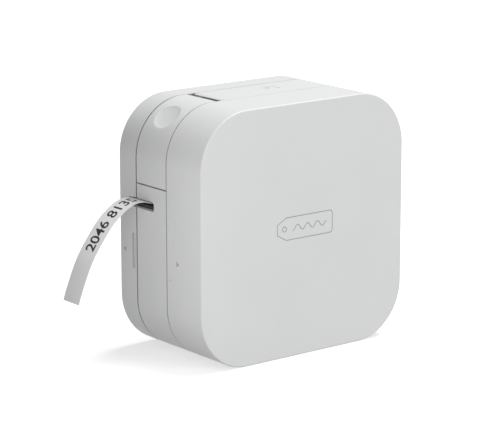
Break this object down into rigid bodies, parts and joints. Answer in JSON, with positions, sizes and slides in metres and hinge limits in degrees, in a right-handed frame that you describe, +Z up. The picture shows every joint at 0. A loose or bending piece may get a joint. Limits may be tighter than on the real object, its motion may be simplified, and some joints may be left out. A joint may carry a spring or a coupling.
{
  "type": "label maker",
  "caption": "Wireless tape label maker: a rounded square body on its base, with slide-off front and rear covers, a cutter lever at the corner and a tape cassette inside.",
  "frame": {"origin": "centre of the base that the body stands on, midway between the front and rear faces", "axes": "+Z up, +X to the right of the front face, +Y from the front face to the rear"},
  "size_m": [0.154, 0.061, 0.115],
  "materials": {
    "cover_front": "fine-textured white ABS, satin",
    "cover_rear": "fine-textured white ABS, satin",
    "band": "fine-textured white ABS, satin",
    "lever": "fine-textured white ABS, satin",
    "button": "fine-textured white ABS, satin",
    "label_film": "laminated white polyester tape",
    "dark_moulding": "dark grey glass-filled nylon",
    "grey_moulding": "light grey ABS",
    "gear_resin": "natural acetal, semi-gloss",
    "steel": "zinc-plated steel",
    "blade_steel": "ground stainless steel",
    "heat_sink": "extruded aluminium",
    "head_ceramic": "glazed ceramic with a dark heater line",
    "roller_rubber": "matt black silicone rubber",
    "motor_can": "drawn steel can",
    "pinion_brass": "turned brass",
    "ribbon_film": "black ink ribbon wound on its core",
    "cassette_shell": "dark grey polystyrene",
    "cell_sleeve": "printed plastic sleeve over a plated can",
    "spring_wire": "nickel-plated spring wire",
    "circuit_board": "green solder mask on glass epoxy",
    "module_shield": "tin-plated shield can",
    "switch_case": "black phenolic with a steel frame"
  },
  "bodies": {
    "frame": {"middle_band": "band", "chassis_plate": "grey_moulding", "chassis_screws": "steel", "lever_pin": "steel", "lever_spring": "spring_wire", "printed_label": "label_film", "blade_holder": "dark_moulding", "fixed_blade": "blade_steel", "blade_pin": "steel", "blade_screws": "steel", "print_head": "head_ceramic", "head_heat_sink": "heat_sink", "holder_pin": "steel", "drive_motor": "motor_can", "cassette_bay": "grey_moulding", "bay_screws": "steel", "battery_tray": "grey_moulding", "tray_screws": "steel", "contact_springs": "spring_wire", "contact_plates": "spring_wire", "main_board": "circuit_board", "wireless_module": "module_shield", "board_screws": "steel", "switch_board": "circuit_board", "power_switch": "switch_case", "dc_socket": "switch_case", "dc_socket_pin": "steel"},
    "front_cover": {"front_cover": "cover_front"},
    "rear_cover": {"rear_cover": "cover_rear"},
    "lever": {"cutter_lever": "lever"},
    "blade": {"moving_blade": "blade_steel", "blade_carrier": "dark_moulding"},
    "button": {"power_button": "button"},
    "motor_rotor": {"motor_shaft": "steel", "motor_pinion": "pinion_brass"},
    "reduction": {"reduction_gear": "gear_resin"},
    "idler": {"idler_gear": "gear_resin"},
    "ribbon_drive": {"ribbon_drive_gear": "gear_resin"},
    "holder": {"roller_holder": "grey_moulding"},
    "platen": {"platen_roller": "roller_rubber", "platen_shaft": "steel", "platen_gear": "gear_resin"},
    "upper_roller": {"upper_guide_roller": "grey_moulding"},
    "cassette": {"cassette_case": "cassette_shell", "cassette_lid": "cassette_shell", "tape_feed": "label_film"},
    "roll": {"tape_roll": "label_film"},
    "ribbon_supply": {"ribbon_supply_spool": "ribbon_film"},
    "ribbon_takeup": {"ribbon_takeup_spool": "ribbon_film"},
    "lower_roller": {"lower_guide_roller": "grey_moulding"},
    "cells": {"battery_1": "cell_sleeve", "battery_2": "cell_sleeve", "battery_3": "cell_sleeve", "battery_4": "cell_sleeve", "battery_5": "cell_sleeve", "battery_6": "cell_sleeve"}
  },
  "joints": [
    {"name": "front_cover_pull", "type": "slide", "parent": "frame", "child": "front_cover", "axis": [0, -1, 0], "range_m": [0, 0.04]},
    {"name": "rear_cover_pull", "type": "slide", "parent": "frame", "child": "rear_cover", "axis": [0, 1, 0], "range_m": [0, 0.04]},
    {"name": "lever_press", "type": "hinge", "parent": "frame", "child": "lever", "pos_m": [-0.0525, 0, 0.082], "axis": [0, 1, 0], "range_deg": [0, 5], "stiffness_Nm_per_rad": 0.3, "springref_deg": -5.73, "deforming": ["lever_spring"]},
    {"name": "blade_swing", "type": "hinge", "parent": "frame", "child": "blade", "pos_m": [-0.0508, 0.0015, 0.067], "axis": [1, 0, 0], "range_deg": [0, 13.05]},
    {"name": "power_press", "type": "slide", "parent": "frame", "child": "button", "axis": [0, 0, -1], "range_m": [0, 0.0008], "stiffness_N_per_m": 300, "springref_m": -0.003},
    {"name": "idler_spin", "type": "hinge", "parent": "frame", "child": "idler", "pos_m": [-0.0052, 0, 0.04757], "axis": [0, 1, 0], "continuous": true},
    {"name": "reduction_spin", "type": "hinge", "parent": "frame", "child": "reduction", "pos_m": [0.0184, 0, 0.04757], "axis": [0, 1, 0], "continuous": true},
    {"name": "motor_spin", "type": "hinge", "parent": "frame", "child": "motor_rotor", "pos_m": [0.036, 0, 0.04757], "axis": [0, 1, 0], "continuous": true},
    {"name": "ribbon_drive_spin", "type": "hinge", "parent": "frame", "child": "ribbon_drive", "pos_m": [-0.033, 0, 0.05885], "axis": [0, 1, 0], "continuous": true},
    {"name": "holder_swing", "type": "hinge", "parent": "frame", "child": "holder", "pos_m": [-0.02, 0, 0.0791], "axis": [0, 1, 0], "range_deg": [0, 2]},
    {"name": "platen_spin", "type": "hinge", "parent": "holder", "child": "platen", "pos_m": [-0.033, 0, 0.07445], "axis": [0, 1, 0], "continuous": true},
    {"name": "upper_roller_spin", "type": "hinge", "parent": "holder", "child": "upper_roller", "pos_m": [-0.0422, 0, 0.07325], "axis": [0, 1, 0], "continuous": true},
    {"name": "cassette_lift", "type": "slide", "parent": "frame", "child": "cassette", "axis": [0, 1, 0], "range_m": [0, 0.02]},
    {"name": "roll_spin", "type": "hinge", "parent": "cassette", "child": "roll", "pos_m": [0.0035, 0, 0.055], "axis": [0, 1, 0], "continuous": true},
    {"name": "ribbon_supply_spin", "type": "hinge", "parent": "cassette", "child": "ribbon_supply", "pos_m": [-0.0175, 0, 0.04], "axis": [0, 1, 0], "continuous": true},
    {"name": "ribbon_takeup_spin", "type": "hinge", "parent": "cassette", "child": "ribbon_takeup", "pos_m": [-0.033, 0, 0.05885], "axis": [0, 1, 0], "continuous": true},
    {"name": "lower_roller_spin", "type": "hinge", "parent": "cassette", "child": "lower_roller", "pos_m": [-0.0422, 0, 0.0673], "axis": [0, 1, 0], "continuous": true},
    {"name": "cells_lift", "type": "slide", "parent": "frame", "child": "cells", "axis": [0, -1, 0], "range_m": [0, 0.016]}
  ],
  "couplings": [
    {"joint": "blade_swing", "follows": "lever_press", "ratio": 2.6},
    {"joint": "reduction_spin", "follows": "idler_spin", "ratio": -4.3636},
    {"joint": "motor_spin", "follows": "idler_spin", "ratio": 14.836},
    {"joint": "ribbon_drive_spin", "follows": "idler_spin", "ratio": -1.7778},
    {"joint": "platen_spin", "follows": "idler_spin", "ratio": 4},
    {"joint": "upper_roller_spin", "follows": "idler_spin", "ratio": 5.7143},
    {"joint": "lower_roller_spin", "follows": "idler_spin", "ratio": -6.6667},
    {"joint": "roll_spin", "follows": "idler_spin", "ratio": -1.0811},
    {"joint": "ribbon_takeup_spin", "follows": "idler_spin", "ratio": -1.7778},
    {"joint": "ribbon_supply_spin", "follows": "idler_spin", "ratio": -1.1313},
    {"joint": "holder_swing", "follows": "rear_cover_pull", "rad_per_m": 0.87},
    {"joint": "cassette_lift", "follows": "rear_cover_pull", "ratio": 0.5},
    {"joint": "cells_lift", "follows": "front_cover_pull", "ratio": 0.4}
  ]
}
